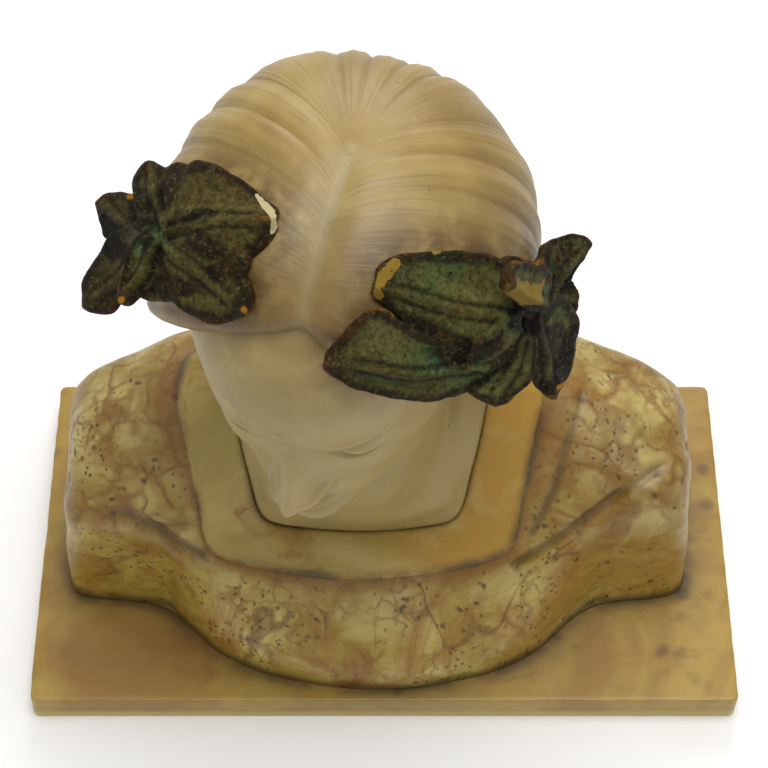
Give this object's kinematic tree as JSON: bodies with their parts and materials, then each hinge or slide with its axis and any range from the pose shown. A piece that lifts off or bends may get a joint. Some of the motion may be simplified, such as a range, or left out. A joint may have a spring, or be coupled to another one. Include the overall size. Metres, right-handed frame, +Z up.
{
  "type": "carved bust",
  "caption": "Alabaster bust of a woman with a bowed head, painted leaves in her centre-parted hair and a veined-stone dress, on a flat slab plinth.",
  "frame": {"origin": "centre of the plinth's underside", "axes": "+Z up, -Y the way she faces, +X towards her left"},
  "size_m": [0.2402, 0.1317, 0.2384],
  "materials": {
    "honey_alabaster": "polished, mottled ochre and brown",
    "veined_alabaster": "polished, brown veins and dark specks",
    "white_alabaster": "soft polish, brown dirt in the strand lines",
    "patinated_leaf": "painted stone, dark bronze and green patina with worn gilt edges"
  },
  "bodies": {
    "root": {"plinth": "honey_alabaster", "dress": "veined_alabaster", "head": "white_alabaster", "leaf_spray_left": "patinated_leaf", "leaf_spray_right": "patinated_leaf"}
  },
  "joints": []
}
